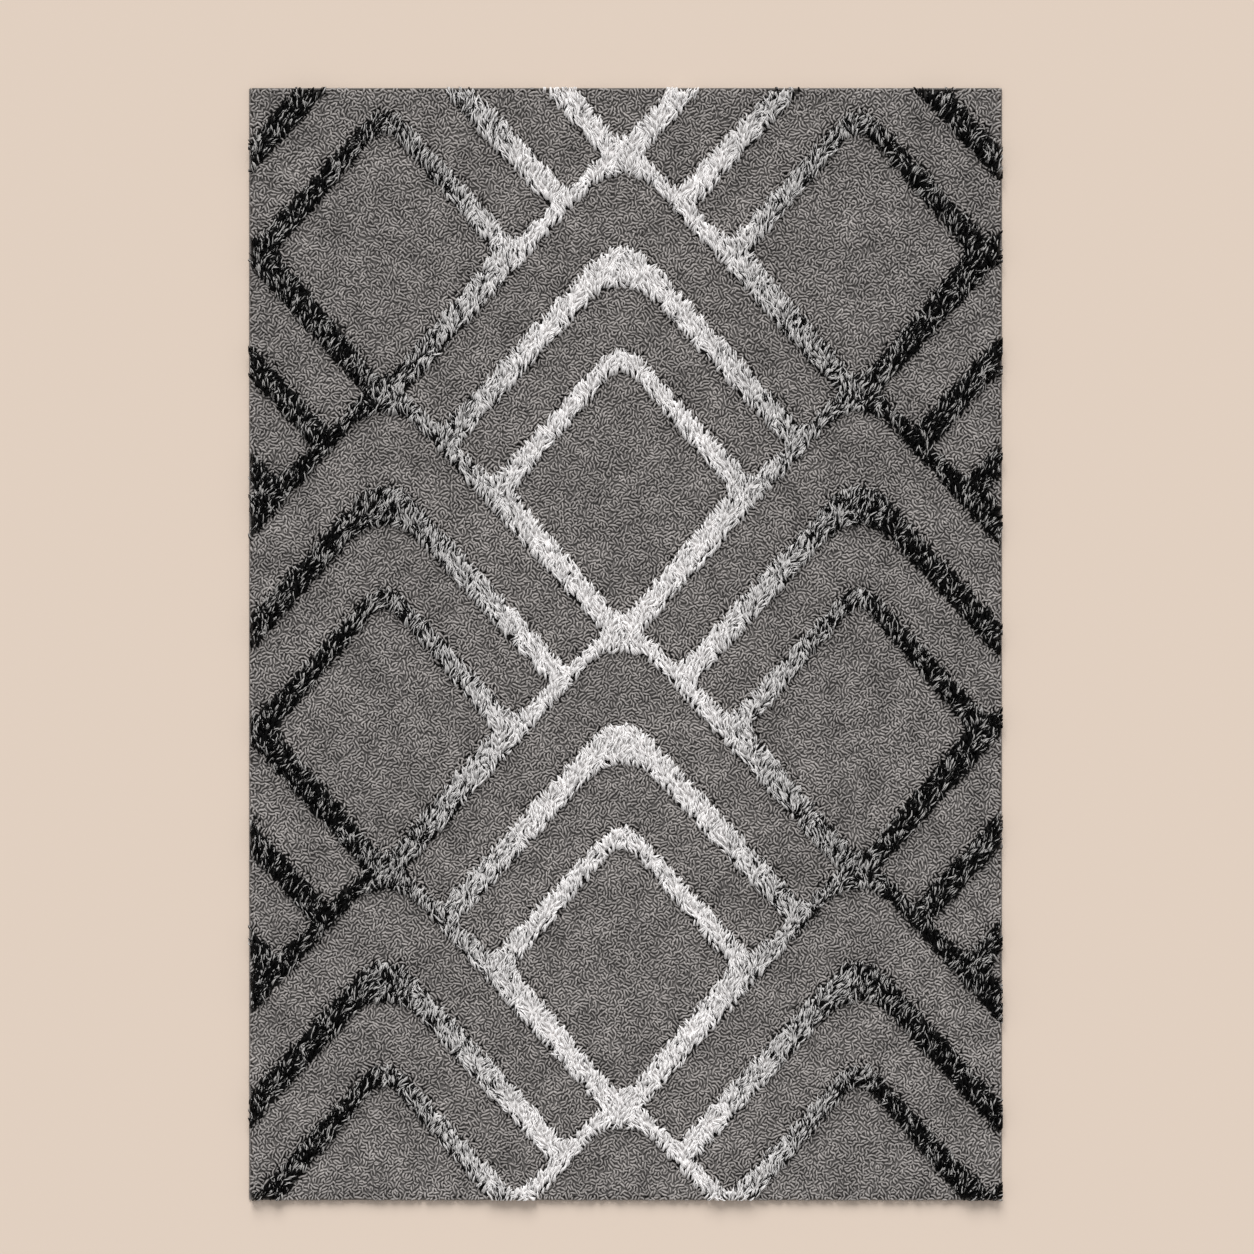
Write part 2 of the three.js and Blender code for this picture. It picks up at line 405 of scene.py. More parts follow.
@dataclass
class Wiring:
    """A node tree and short ways to add to it."""

    tree: bpy.types.NodeTree

    def node(self, kind: str, **settings: object) -> bpy.types.Node:
        """Adds a node and sets its properties.

        Args:
            kind: The node's type.
            settings: Properties to set on it.

        Returns:
            The new node.
        """
        made = self.tree.nodes.new(kind)
        for name, value in settings.items():
            setattr(made, name, value)
        return made

    def join(self, source: bpy.types.NodeSocket, target: bpy.types.NodeSocket) -> None:
        """Links an output to an input."""
        self.tree.links.new(source, target)

    def feed(self, target: bpy.types.NodeSocket, value: object) -> None:
        """Gives an input its value.

        Args:
            target: The input.
            value: A socket to link into it, or a plain value to set.
        """
        if isinstance(value, bpy.types.NodeSocket):
            self.join(value, target)
        else:
            target.default_value = value

    def math(self, operation: str, *values: object, clamp: bool = False) -> bpy.types.NodeSocket:
        """Adds a Math node.

        Args:
            operation: What it does.
            values: Its inputs, as sockets or numbers.
            clamp: Whether the result is kept from 0 to 1.

        Returns:
            Its result.
        """
        made = self.node("ShaderNodeMath", operation=operation, use_clamp=clamp)
        for target, value in zip(made.inputs, values):
            self.feed(target, value)
        return made.outputs[0]

    def ramp(self, value: object, low: float, high: float, to_low: float,
             to_high: float) -> bpy.types.NodeSocket:
        """Adds a clamped Map Range node.

        Args:
            value: What is mapped.
            low: The value that gives to_low.
            high: The value that gives to_high.
            to_low: The result at low.
            to_high: The result at high.

        Returns:
            Its result.
        """
        made = self.node("ShaderNodeMapRange", clamp=True)
        for target, given in zip(made.inputs, (value, low, high, to_low, to_high)):
            self.feed(target, given)
        return made.outputs[0]

    def mix(self, share: object, first: object, second: object, kind: str = "MIX") -> bpy.types.NodeSocket:
        """Adds a colour mix.

        Args:
            share: How much of the second colour.
            first: The first colour.
            second: The second colour.
            kind: How they blend.

        Returns:
            The mixed colour.
        """
        made = self.node("ShaderNodeMix", data_type="RGBA", blend_type=kind)
        self.feed(made.inputs[0], share)
        self.feed(made.inputs[6], first)
        self.feed(made.inputs[7], second)
        return made.outputs[2]

    def place(self) -> bpy.types.NodeSocket:
        """Returns the place on the object."""
        return self.node("ShaderNodeTexCoord").outputs["Object"]

    def parts(self, vector: bpy.types.NodeSocket) -> bpy.types.NodeOutputs:
        """Splits a vector.

        Args:
            vector: The vector.

        Returns:
            Its three parts.
        """
        made = self.node("ShaderNodeSeparateXYZ")
        self.join(vector, made.inputs[0])
        return made.outputs

    def noise(self, scale: object, detail: float = 2.0) -> bpy.types.NodeSocket:
        """Adds noise that is fixed to the object.

        Args:
            scale: How fine it is.
            detail: How many finer layers it has.

        Returns:
            Its value.
        """
        made = self.node("ShaderNodeTexNoise")
        self.feed(made.inputs["Scale"], scale)
        made.inputs["Detail"].default_value = detail
        self.join(self.place(), made.inputs["Vector"])
        return made.outputs["Fac"]

    def sway(self, value: bpy.types.NodeSocket, amount: object, middle_value: object) -> bpy.types.NodeSocket:
        """Turns a value from 0 to 1 into one that strays to both sides of a middle.

        Args:
            value: The value.
            amount: How far apart its two ends come to lie.
            middle_value: What 0.5 becomes.

        Returns:
            The result.
        """
        return self.math("MULTIPLY_ADD", self.math("SUBTRACT", value, 0.5), amount, middle_value)

    def darken(self, colour: object, factor: bpy.types.NodeSocket) -> bpy.types.NodeSocket:
        """Multiplies a colour by a plain value.

        Args:
            colour: The colour.
            factor: The value.

        Returns:
            The new colour.
        """
        grey = self.node("ShaderNodeCombineColor")
        for target in grey.inputs[:3]:
            self.join(factor, target)
        return self.mix(1.0, colour, grey.outputs[0], "MULTIPLY")

    def group(self, name: str, **values: object) -> bpy.types.Node:
        """Places a shared group.

        Args:
            name: The group's name.
            values: The values of its inputs, named with _ for a space.

        Returns:
            The group's node.
        """
        made = self.node("ShaderNodeGroup", node_tree=Groups.made[name])
        for label, value in values.items():
            self.feed(made.inputs[label.replace("_", " ")], value)
        return made


Colour = tuple[float, float, float, float]


def tone(red: int, green: int, blue: int) -> Colour:
    """Returns a colour given as screen values from 0 to 255 in the linear values that shaders use."""
    linear = [((v / 255 + 0.055) / 1.055) ** 2.4 if v > 10 else v / 255 / 12.92 for v in (red, green, blue)]
    return (*linear, 1.0)


YARN_NOISE = 26.0
FUZZ_NOISE = 1500.0
THREAD_SHADE = 0.7


def build_yarn_shade() -> None:
    """Builds the group that gives each tuft its own shade, with painted shade that darkens it towards its
    root and its low sides, and patches over the rug.
    """
    tree = Groups.start(
        "yarn shade",
        {"Colour": ("NodeSocketColor", (0.5, 0.5, 0.5, 1)), "Spread": ("NodeSocketFloat", 0.3),
         "Root": ("NodeSocketFloat", 0.4), "Patches": ("NodeSocketFloat", 0.1),
         "Patch Scale": ("NodeSocketFloat", 14.0), "Uneven": ("NodeSocketFloat", 0.5)},
        {"Colour": "NodeSocketColor"},
    )
    w = Wiring(tree)
    given, out = tree.nodes["in"].outputs, tree.nodes["out"].inputs
    tuft = w.parts(w.node("ShaderNodeAttribute", attribute_name=TUFT).outputs["Vector"])
    own = w.sway(tuft[0], given["Spread"], 1.0)
    # Painted shade: how much darker the root and the low sides are painted, varied by noise over the rug.
    uneven_shade = w.sway(w.noise(YARN_NOISE), given["Uneven"], given["Root"])
    painted_shade = w.math("MULTIPLY", w.math("SUBTRACT", 1.0, tuft[1]), uneven_shade, clamp=True)
    patch = w.sway(w.noise(given["Patch Scale"], 3.0), given["Patches"], 1.0)
    factor = w.math("MULTIPLY", w.math("MULTIPLY", own, w.math("SUBTRACT", 1.0, painted_shade)), patch)
    w.join(w.darken(given["Colour"], factor), out["Colour"])


def build_weave() -> None:
    """Builds the group of a plain weave: warp and weft threads that pass over each other in turn."""
    tree = Groups.start(
        "weave",
        {"Threads": ("NodeSocketFloat", 400.0), "Fuzz": ("NodeSocketFloat", 0.2)},
        {"Height": "NodeSocketFloat", "Shade": "NodeSocketFloat"},
    )
    w = Wiring(tree)
    given, out = tree.nodes["in"].outputs, tree.nodes["out"].inputs
    place = w.parts(w.place())
    across, along = (w.math("MULTIPLY", place[i], given["Threads"]) for i in range(2))
    turn = w.math("MODULO", w.math("ADD", w.math("FLOOR", across), w.math("FLOOR", along)), 2.0)
    turn = w.math("ABSOLUTE", turn)
    warp, weft = (w.math("SINE", w.math("MULTIPLY", w.math("FRACT", v), math.pi)) for v in (across, along))
    over = w.math("MULTIPLY", warp, turn)
    under = w.math("MULTIPLY", weft, w.math("SUBTRACT", 1.0, turn))
    thread = w.math("ADD", over, under)
    fuzz = w.math("MULTIPLY", w.noise(FUZZ_NOISE, 3.0), given["Fuzz"])
    w.join(w.math("ADD", thread, fuzz), out["Height"])
    # Shade is low where the threads dip, for the painted shade between them.
    w.join(w.math("ADD", w.math("MULTIPLY", thread, THREAD_SHADE), fuzz), out["Shade"])


@dataclass(frozen=True)
class ClothFinish:
    """The finish of a woven cloth or a cord: two tones, the darker one as painted shade between its threads
    and the lighter one on them, and its relief.
    """

    name: str
    deep_shade: Colour
    raised: Colour
    threads: float
    relief: float = 0.25 * MM
    roughness: tuple[float, float] = (0.95, 0.75)
    soil: float = 0.25
    soil_noise: tuple[float, float] = (9.0, 4.0)
    soil_range: tuple[float, float] = (0.35, 0.65)
    thread_top: float = 0.8
    bump: float = 0.7
    shine: float = 0.2

    def material(self) -> bpy.types.Material:
        """Makes the material.

        Returns:
            The new material.
        """
        made = bpy.data.materials.new(self.name)
        made.use_nodes = True
        w = Wiring(made.node_tree)
        shader = made.node_tree.nodes["Principled BSDF"]
        weave = w.group("weave", Threads=self.threads)
        # Painted shade: the colour turns to the darker tone in the hollows between the threads.
        colour = w.mix(weave.outputs["Shade"], self.deep_shade, self.raised)
        stain = w.ramp(w.noise(*self.soil_noise), *self.soil_range, 1.0 - self.soil, 1.0)
        w.join(w.darken(colour, stain), shader.inputs["Base Color"])
        roughness = w.ramp(weave.outputs["Shade"], 0.0, self.thread_top, *self.roughness)
        w.join(roughness, shader.inputs["Roughness"])
        bump = w.node("ShaderNodeBump")
        bump.inputs["Strength"].default_value = self.bump
        bump.inputs["Distance"].default_value = self.relief
        w.join(weave.outputs["Height"], bump.inputs["Height"])
        w.join(bump.outputs[0], shader.inputs["Normal"])
        shader.inputs["Specular IOR Level"].default_value = self.shine
        return made


@dataclass(frozen=True)
class PileFinish:
    """The finish of pile yarn of one colour, or of two that mix by how far they lie from the mirror line."""

    name: str
    light: Colour
    dark: Colour | None = None
    roughness: float = 0.6
    sheen: float = 0.2
    spread: float = 0.4
    # How dark the painted shade towards the roots and on the low sides of the yarns is.
    root: float = 0.5
    patches: float = 0.15
    patch_scale: float = 14.0
    uneven_shade: float = 0.0
    far_light: Colour | None = None
    far_root_shade: float = 0.0
    all_light_to: float = 0.18
    least_light_from: float = 0.60
    least_light: float = 0.21
    clumps: float = 0.55
    clump_noise: float = 38.0
    flecks: float = 0.45
    fleck_noise: float = 230.0
    shine: float = 0.12

    def material(self, axis: float) -> bpy.types.Material:
        """Makes the material.

        Args:
            axis: Where the pattern's mirror line lies across the rug.

        Returns:
            The new material.
        """
        made = bpy.data.materials.new(self.name)
        made.use_nodes = True
        w = Wiring(made.node_tree)
        shader = made.node_tree.nodes["Principled BSDF"]
        colour: object = self.light
        root: object = self.root
        if self.dark:
            away = self._away(w, axis)
            far = w.ramp(away, self.all_light_to, self.least_light_from, 0.0, 1.0)
            light = w.mix(far, self.light, self.far_light)
            colour = w.mix(self._dark_share(w, away), light, self.dark)
            # Painted shade: far from the mirror line the yarns' low sides are painted darker still.
            root = w.math("MULTIPLY_ADD", far, self.far_root_shade, self.root)
        shade = w.group("yarn shade", Colour=colour, Spread=self.spread, Root=root,
                        Patches=self.patches, Patch_Scale=self.patch_scale, Uneven=self.uneven_shade)
        w.join(shade.outputs["Colour"], shader.inputs["Base Color"])
        shader.inputs["Roughness"].default_value = self.roughness
        shader.inputs["Sheen Weight"].default_value = self.sheen
        shader.inputs["Specular IOR Level"].default_value = self.shine
        return made

    def _away(self, w: Wiring, axis: float) -> bpy.types.NodeSocket:
        """Returns how far across the rug each point lies from the mirror line."""
        return w.math("ABSOLUTE", w.math("SUBTRACT", w.parts(w.place())[0], axis))

    def _dark_share(self, w: Wiring, away: bpy.types.NodeSocket) -> bpy.types.NodeSocket:
        """Chooses between the light and the dark yarns.

        Args:
            w: The material's wiring.
            away: How far each point lies from the mirror line.

        Returns:
            1 on the dark yarns and 0 on the light ones.
        """
        light = w.ramp(away, self.all_light_to, self.least_light_from, 1.0, self.least_light)
        own = w.parts(w.node("ShaderNodeAttribute", attribute_name=TUFT).outputs["Vector"])[2]
        clumps = w.sway(w.noise(self.clump_noise, 1.0), self.clumps, 0.0)
        flecks = w.sway(w.noise(self.fleck_noise, 1.0), self.flecks, clumps)
        return w.math("GREATER_THAN", w.math("ADD", own, flecks), light)


# ---------------------------------------------------------------- the pile


@dataclass(frozen=True)
class Yarn:
    """The section that yarns of one kind share: an arch over a flat underside that tapers along the yarn."""

    taper: tuple[float, ...]
    corners: int = 5
    arch: float = math.radians(190)
    flatness: float = 0.9
    bake_margin: float = 0.15

    def build(self, name: str, spines: np.ndarray, radius: np.ndarray, marks: np.ndarray,
              outline: tuple[float, float]) -> bpy.types.Object:
        """Makes one object of many closed yarns.

        Args:
            name: The object's name.
            spines: The points that each yarn follows, one for each value of the taper.
            radius: Each yarn's largest radius.
            marks: Two values for each yarn, for its shade and its colour.
            outline: Half the rug's width and length, which no yarn passes.

        Returns:
            The object.
        """
        along = unit(np.gradient(spines, axis=1))
        wide = unit(np.cross(along, [0, 0, 1.0]))
        thick = np.cross(wide, along)
        turn = np.pi / 2 + self.arch * (np.arange(self.corners) / (self.corners - 1) - 0.5)
        section = np.cos(turn)[:, None] * wide[:, :, None]
        section = section + self.flatness * np.sin(turn)[:, None] * thick[:, :, None]
        reach = radius[:, None] * np.array(self.taper)
        points = spines[:, :, None] + reach[:, :, None, None] * section
        points[..., :2] = points[..., :2].clip(-np.array(outline), outline)
        faces = tube_faces(*spines.shape[:2], self.corners, turned=True)
        made = mesh_from(name, points.reshape(-1, 3), faces)
        lift = np.sin(turn) - np.sin(turn).min()
        self._mark(made.data, points, marks, lift / lift.max())
        return made

    def _mark(self, mesh: bpy.types.Mesh, points: np.ndarray, marks: np.ndarray, lift: np.ndarray) -> None:
        """Stores what the finish reads, and a map to bake on that gives each yarn a cell of its own.

        Args:
            mesh: The yarns.
            points: The corners of each yarn's rings.
            marks: Two values for each yarn.
            lift: How far up its ring each corner stands, from 0 to 1.
        """
        count, rings, corners = points.shape[:3]
        heights = points[..., 2].max(2, keepdims=True)
        risen = (heights - heights.min()) / (heights.max(1, keepdims=True) - heights.min())
        values = np.empty((count, rings, corners, 3))
        values[..., 0] = marks[:, 0, None, None]
        # Painted shade: the share that the finish paints darker, low towards the root and on the low corners
        # of each ring.
        values[..., 1] = risen * lift
        values[..., 2] = marks[:, 1, None, None]
        store_tufts(mesh, values)
        across = math.ceil(math.sqrt(count))
        cell = np.stack(np.divmod(np.arange(count), across), 1)
        inner = np.stack(np.broadcast_arrays(np.linspace(0, 1, rings)[:, None], lift), -1)
        inner = inner * (1 - 2 * self.bake_margin) + self.bake_margin
        place = ((cell[:, None, None] + inner) / across).reshape(-1, 2)
        loops = np.empty(len(mesh.loops), np.int32)
        mesh.loops.foreach_get("vertex_index", loops)
        mesh.uv_layers.new(name=BAKE_MAP).uv.foreach_set("vector", place[loops].astype(np.float32).ravel())


@dataclass(frozen=True)
class Bed:
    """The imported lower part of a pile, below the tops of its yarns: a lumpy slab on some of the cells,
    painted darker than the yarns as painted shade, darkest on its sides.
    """

    pitch: float
    top: float
    inset: float = 2.5 * MM
    lumps: float = 0.8 * MM
    jitter: float = 0.3
    painted_lit_share: float = 0.35

    def build(self, name: str, plan: "Plan", cells: np.ndarray, rng: np.random.Generator) -> bpy.types.Object:
        """Makes the slab.

        Args:
            name: The object's name.
            plan: The plan that the cells belong to.
            cells: Which cells of the plan the slab may cover.
            rng: The source of random numbers.

        Returns:
            The object.
        """
        step = round(self.pitch / plan.CELL)
        wide = round(self.inset / plan.CELL)
        counts = (plan.size - 1) // step
        starts = np.stack(np.meshgrid(*(np.arange(n) for n in counts), indexing="ij"), -1) * step
        full = np.pad(np.cumsum(np.cumsum(np.pad(cells, wide).astype(np.int32), 0), 1), ((1, 0), (1, 0)))
        side = step + 2 * wide
        x, y = starts[..., 0], starts[..., 1]
        area = full[x + side, y + side] - full[x, y + side] - full[x + side, y] + full[x, y]
        used = area == side * side
        grid = np.stack(np.meshgrid(*(np.arange(n + 1) for n in counts), indexing="ij"), -1)
        grid = grid * step * plan.CELL
        places = grid + plan.corner + rng.uniform(-self.jitter, self.jitter, grid.shape) * self.pitch
        heights = self.top + rng.uniform(-self.lumps, self.lumps, grid.shape[:2])
        top = np.concatenate([places, heights[..., None]], -1).reshape(-1, 3)
        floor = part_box("ground_cloth")[1][2]
        bottom = np.column_stack([top[:, :2], np.full(len(top), floor)])
        i, j = np.nonzero(used)
        row = counts[1] + 1
        quads = np.stack([i * row + j, (i + 1) * row + j, (i + 1) * row + j + 1, i * row + j + 1], 1)
        edges = np.concatenate([quads[:, [k, (k + 1) % 4]] for k in range(4)])
        keys = edges[:, 0] * len(top) + edges[:, 1]
        open_edges = edges[~np.isin(keys, edges[:, 1] * len(top) + edges[:, 0])]
        walls = np.column_stack([open_edges + len(top), open_edges[:, ::-1]])
        faces = np.concatenate([quads, quads[:, ::-1] + len(top), walls])
        kept, faces = np.unique(faces, return_inverse=True)
        points = np.concatenate([top, bottom])[kept]
        made = mesh_from(name, points, [faces.reshape(-1, 4)])
        # Painted shade: the top points take the painted lit share, the bottom ones none.
        values = np.column_stack([rng.uniform(0, 1, len(kept)), np.where(kept < len(top), self.painted_lit_share, 0),
                                  rng.uniform(0, 1, len(kept))])
        store_tufts(made.data, values)
        return made


@dataclass
class Currents:
    """The lines in which curled yarns lie: the crests of waves that share one length but run every way."""

    plan: Plan
    period: float = 6.8 * MM
    band: float = 0.27
    step: float = 2 * MM
    shortest: float = 8 * MM
    longest: float = 26 * MM
    clear: float = 2.4 * MM
    least: float = -0.1
    seed_height: float = 0.3
    seed_aside: float = 0.5
    sharpest_turn: float = 1.1

    def lines(self, free: np.ndarray, rng: np.random.Generator) -> list[np.ndarray]:
        """Fills some of the plan's cells with lines.

        Args:
            free: Which cells the lines may fill.
            rng: The source of random numbers.

        Returns:
            The lines, each a row of places in plan.
        """
        cell = self.plan.CELL
        height, heading, aside = self._crests(rng)
        reach = int(self.clear / cell)
        spots = np.mgrid[-reach:reach + 1, -reach:reach + 1]
        disc = np.argwhere(np.hypot(*spots) <= self.clear / cell) - reach
        closed = ~(free & (height > self.least))
        taken = np.pad(closed.astype(np.uint8), reach, constant_values=1)
        seeds = np.argwhere(free & (height > self.seed_height) & (np.abs(aside) < self.seed_aside))
        lengths = rng.uniform(self.shortest, self.longest, len(seeds))
        found = []
        for (x, y), length in zip(seeds[rng.permutation(len(seeds))] + 0.5, lengths):
            if taken[int(x) + reach, int(y) + reach]:
                continue
            halves = [self._follow(x, y, way, length / 2, taken, reach, heading, aside)
                      for way in (0, math.pi)]
            line = np.array(halves[1][::-1] + [(x, y)] + halves[0])
            if len(line) < 3:
                continue
            cells = (line.astype(int)[:, None] + disc + reach).reshape(-1, 2)
            taken[cells[:, 0], cells[:, 1]] = 1
            found.append(line * cell + self.plan.corner)
        return found

    def _crests(self, rng: np.random.Generator) -> tuple[np.ndarray, np.ndarray, np.ndarray]:
        """Makes the waves and finds their crests.

        Args:
            rng: The source of random numbers.

        Returns:
            For each cell the waves' height, the angle that the nearest crest runs at, and the distance to it
            in cells.
        """
        size = tuple(self.plan.size)
        across = np.fft.fftfreq(size[0], self.plan.CELL)[:, None]
        along = np.fft.rfftfreq(size[1], self.plan.CELL)
        kept = np.exp(-0.5 * ((np.hypot(across, along) * self.period - 1) / self.band) ** 2)
        waves = np.fft.irfft2(np.fft.rfft2(rng.normal(size=size)) * kept, s=size)
        waves = waves / waves.std()
        slope_x, slope_y = np.gradient(waves)
        (bend_xx, bend_xy), bend_yy = np.gradient(slope_x), np.gradient(slope_y, axis=1)
        heading = 0.5 * np.arctan2(2 * bend_xy, bend_xx - bend_yy)
        across_x, across_y = -np.sin(heading), np.cos(heading)
        bend = bend_xx * across_x ** 2 + 2 * bend_xy * across_x * across_y + bend_yy * across_y ** 2
        aside = (slope_x * across_x + slope_y * across_y) / np.maximum(-bend, 0.1)
        return waves, heading, aside.clip(-1, 1)

    def _follow(self, x: float, y: float, way: float, room: float, taken: np.ndarray, reach: int,
                heading: np.ndarray, aside: np.ndarray) -> list[tuple[float, float]]:
        """Follows a crest one way.

        Args:
            x: The cell across the rug to start from.
            y: The cell along the rug to start from.
            way: 0 or half a turn, for the two ways.
            room: How far to go.
            taken: Which cells are closed, with a margin.
            reach: The width of that margin.
            heading: The angle of the crest at each cell.
            aside: How far each cell lies from the crest.

        Returns:
            The places passed, in cells.
        """
        columns, rows = heading.shape
        stride = self.step / self.plan.CELL
        passed = []
        last = heading[int(x), int(y)] + way
        for _ in range(int(room / self.step)):
            x += math.cos(last) * stride
            y += math.sin(last) * stride
            if not (0 <= x < columns and 0 <= y < rows) or taken[int(x) + reach, int(y) + reach]:
                break
            angle = heading[int(x), int(y)]
            off = aside[int(x), int(y)]
            x -= math.sin(angle) * off
            y += math.cos(angle) * off
            if not (0 <= x < columns and 0 <= y < rows):
                break
            passed.append((x, y))
            turn = (angle - last + math.pi / 2) % math.pi - math.pi / 2
            if abs(turn) > self.sharpest_turn:
                break
            last += turn
        return passed


def scattered(outline: tuple[float, float], spacing: tuple[float, float], jitter: float,
              rng: np.random.Generator) -> np.ndarray:
    """Gives places over the whole rug, in staggered rows that are each moved a little at random.

    Args:
        outline: Half the rug's width and length.
        spacing: How far apart the places are, across and along.
        jitter: The largest move, as a share of the spacing.
        rng: The source of random numbers.

    Returns:
        The places in plan.
    """
    across = np.arange(-outline[0], outline[0], spacing[0])
    along = np.arange(-outline[1], outline[1], spacing[1])
    x, y = np.meshgrid(across, along)
    x[1::2] += spacing[0] / 2
    places = np.stack([x.ravel(), y.ravel()], 1)
    return places + rng.uniform(-jitter, jitter, places.shape) * spacing


@dataclass
class LowPile:
    """The grey fields: curled yarns that lie over in swirling lines."""

    pattern: Pattern
    plan: Plan
    radius: float = 2.95 * MM
    overshoot: float = 2.4 * MM
    under: float = 9 * MM
    thickness_range: tuple[float, float] = (0.72, 1.12)
    height_range: tuple[float, float] = (0.86, 1.0)
    smoothings: int = 2
    lowest_row: int = -4
    rise: tuple[float, ...] = (0.3, 0.88, 1.0, 1.0, 0.97, 0.78)
    along: tuple[float, ...] = (0, 0.1, 0.34, 0.62, 0.87, 1.0)
    finish: PileFinish = PileFinish("grey pile", tone(163, 158, 155), roughness=0.75, sheen=0.0,
                                    spread=0.35, root=0.5, patches=0.9, uneven_shade=0.9)
    yarn: Yarn = Yarn(taper=(0.7, 0.9, 1.0, 1.0, 0.95, 0.6), corners=3)
    bed: Bed = Bed(pitch=8 * MM, top=8 * MM, painted_lit_share=0.15)

    def build(self) -> list[bpy.types.Object]:
        """Makes the low pile.

        Returns:
            One object for the fields of each diamond, and the bed below them.
        """
        rng = np.random.default_rng(SEED)
        lines = Currents(self.plan).lines(self.plan.low_field(self.under), rng)
        count = len(lines)
        spines = np.stack([self._spine(line) for line in lines])
        flip = rng.uniform(0, 1, count) < 0.5
        spines[flip, :, :2] = spines[flip, ::-1, :2]
        radius = self.radius * rng.uniform(*self.thickness_range, count)
        height = (self.pattern.low - self.pattern.floor - radius) * rng.uniform(*self.height_range, count)
        spines[:, :, 2] = self.pattern.floor + np.array(self.rise) * height[:, None]
        marks = rng.uniform(0, 1, (count, 2))
        look = self.finish.material(self.pattern.axis)
        cells = self.pattern.diamonds(spines[:, 3, :2])
        made = []
        for column, row in sorted({tuple(cell) for cell in cells}):
            own = (cells == (column, row)).all(1)
            name = f"low_pile_{Column(column).name}_{row - self.lowest_row}"
            made.append(self.yarn.build(name, spines[own], radius[own], marks[own], self.pattern.outline))
        made.append(self.bed.build("low_pile_bed", self.plan, self.plan.labels == 0, rng))
        for piece in made:
            dress(piece, look, "ground_pile")
        return made

    def _spine(self, line: np.ndarray) -> np.ndarray:
        """Turns a line into the spine of a yarn.

        Args:
            line: The line, as places in plan.

        Returns:
            The points where the yarn's rings stand, a little past the line's two ends, with no height yet.
        """
        ends = unit(np.stack([line[0] - line[1], line[-1] - line[-2]])) * self.overshoot
        line = np.concatenate([[line[0] + ends[0]], line, [line[-1] + ends[1]]])
        for _ in range(self.smoothings):
            line[1:-1] = (line[:-2] + 2 * line[1:-1] + line[2:]) / 4
        travelled = np.concatenate([[0], np.cumsum(np.linalg.norm(np.diff(line, axis=0), axis=1))])
        at = np.array(self.along) * travelled[-1]
        across, ahead = (np.interp(at, travelled, line[:, i]) for i in range(2))
        return np.stack([across, ahead, np.zeros(len(at))], 1)


